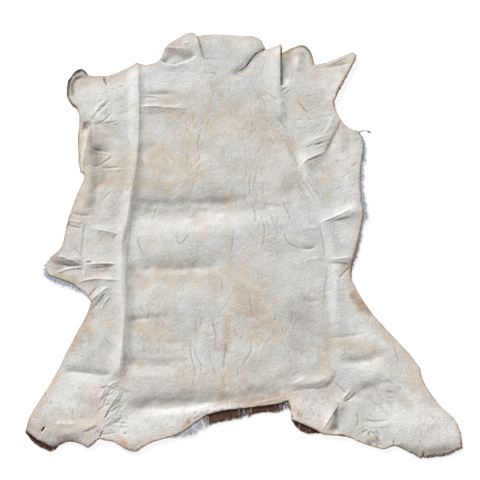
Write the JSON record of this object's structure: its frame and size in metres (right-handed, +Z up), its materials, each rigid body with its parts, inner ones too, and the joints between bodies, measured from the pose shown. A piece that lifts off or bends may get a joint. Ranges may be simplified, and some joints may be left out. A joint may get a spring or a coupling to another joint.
{
  "type": "deer skin",
  "caption": "Hair-on deer hide laid flesh side up, with its neck, leg, belly and tail outline, lengthwise and cross folds, neck cuts and a rim of hair.",
  "frame": {"origin": "centre of the hide's box, on the surface that its hair rests on", "axes": "+Y from the tail to the neck, +X across the hide, +Z up, from the hair to the leather"},
  "size_m": [1.0064, 1.13, 0.0206],
  "materials": {
    "leather": "matt cream flesh side of tanned hide, with tan and cool pale patches",
    "hair": "deer hair, brown on the back and white to grey on the belly and flanks"
  },
  "bodies": {
    "root": {"hide_leather": "leather", "hair_coat": "hair"}
  },
  "joints": []
}
